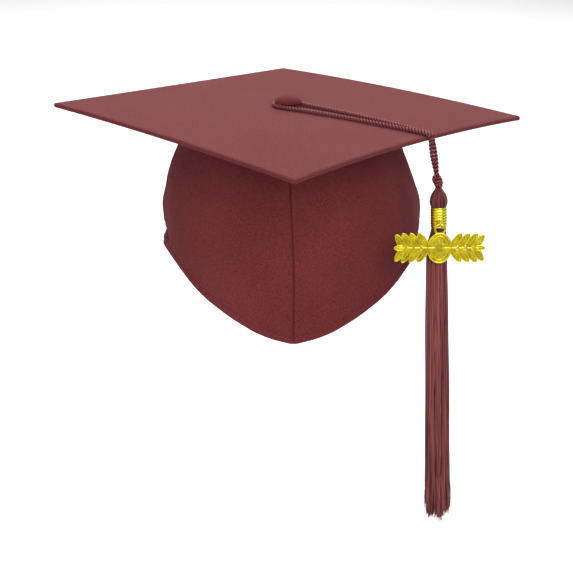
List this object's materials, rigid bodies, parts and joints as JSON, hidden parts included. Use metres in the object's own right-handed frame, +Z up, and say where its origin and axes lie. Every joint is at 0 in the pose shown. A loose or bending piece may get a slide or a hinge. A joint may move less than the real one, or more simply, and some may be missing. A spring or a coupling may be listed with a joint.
{
  "type": "graduation cap",
  "caption": "Square mortarboard cap with a pointed elastic-back crown, covered top button, and a looped cord tassel with a ribbed metal band and a hanging ornament.",
  "frame": {"origin": "centre of the head opening, level with its side rim", "axes": "+Z up through the board; -Y towards the front seam and the board's front corner; +X to the wearer's left, the side the tassel hangs on"},
  "size_m": [0.3396, 0.3396, 0.2993],
  "materials": {
    "cap_cloth": "matte maroon woven cloth",
    "board": "stiff board, hidden inside the cover",
    "interfacing": "stiff non-woven interfacing, dyed to match",
    "elastic": "flat woven elastic",
    "button_metal": "plain stamped metal",
    "button_base": "covered base of the button",
    "cord": "twisted two-ply satin cord",
    "threads": "loose silky threads",
    "gold_metal": "bright gold plate"
  },
  "bodies": {
    "cap": {"board_core": "board", "board_top_cover": "cap_cloth", "board_under_cover": "cap_cloth", "board_edge_seam": "cap_cloth", "crown_top_disc": "cap_cloth", "crown_seam_allowance": "cap_cloth", "crown_panel_left": "cap_cloth", "crown_panel_right": "cap_cloth", "crown_stiffener_left": "interfacing", "crown_stiffener_right": "interfacing", "hem_left": "cap_cloth", "hem_right": "cap_cloth", "front_seam_allowance": "cap_cloth", "side_seam_left": "cap_cloth", "side_seam_right": "cap_cloth", "back_panel": "cap_cloth", "elastic_band": "elastic", "elastic_casing": "cap_cloth", "button_cover": "cap_cloth", "button_shell": "button_metal", "button_back_plate": "button_metal", "button_neck": "button_base", "button_shank": "button_metal", "button_washer": "button_metal", "button_clinch": "button_metal"},
    "cord_loop": {"tassel_cord_loop": "cord"},
    "cord_drop": {"tassel_cord_drop": "cord", "tassel_knot": "cord"},
    "tassel": {"tassel_head": "threads", "tassel_neck_wrap": "threads", "tassel_band": "gold_metal", "band_eye": "gold_metal", "tassel_skirt": "threads"},
    "charm_link": {"charm_link": "gold_metal"},
    "charm": {"charm": "gold_metal"}
  },
  "joints": [
    {"name": "tassel_swivel", "type": "hinge", "parent": "cap", "child": "cord_loop", "pos_m": [-0.003, 0, 0.1017], "axis": [0, 0, 1], "range_deg": [-14, 3]},
    {"name": "drop_swing", "type": "hinge", "parent": "cord_loop", "child": "cord_drop", "pos_m": [0.09205, -0.07628, 0.09595], "axis": [-0.7071, -0.7071, 0], "range_deg": [-3, 60]},
    {"name": "tassel_sway", "type": "hinge", "parent": "cord_drop", "child": "tassel", "pos_m": [0.09876, -0.08299, 0.06131], "axis": [0.7071, -0.7071, 0], "range_deg": [-20, 20]},
    {"name": "charm_swing", "type": "hinge", "parent": "tassel", "child": "charm_link", "pos_m": [0.0996, -0.09199, 0.03947], "axis": [-0.9993, 0, -0.0384], "range_deg": [0, 60]},
    {"name": "charm_sway", "type": "hinge", "parent": "charm_link", "child": "charm", "pos_m": [0.09972, -0.09199, 0.03638], "axis": [0, -1, 0], "range_deg": [-25, 25]}
  ]
}
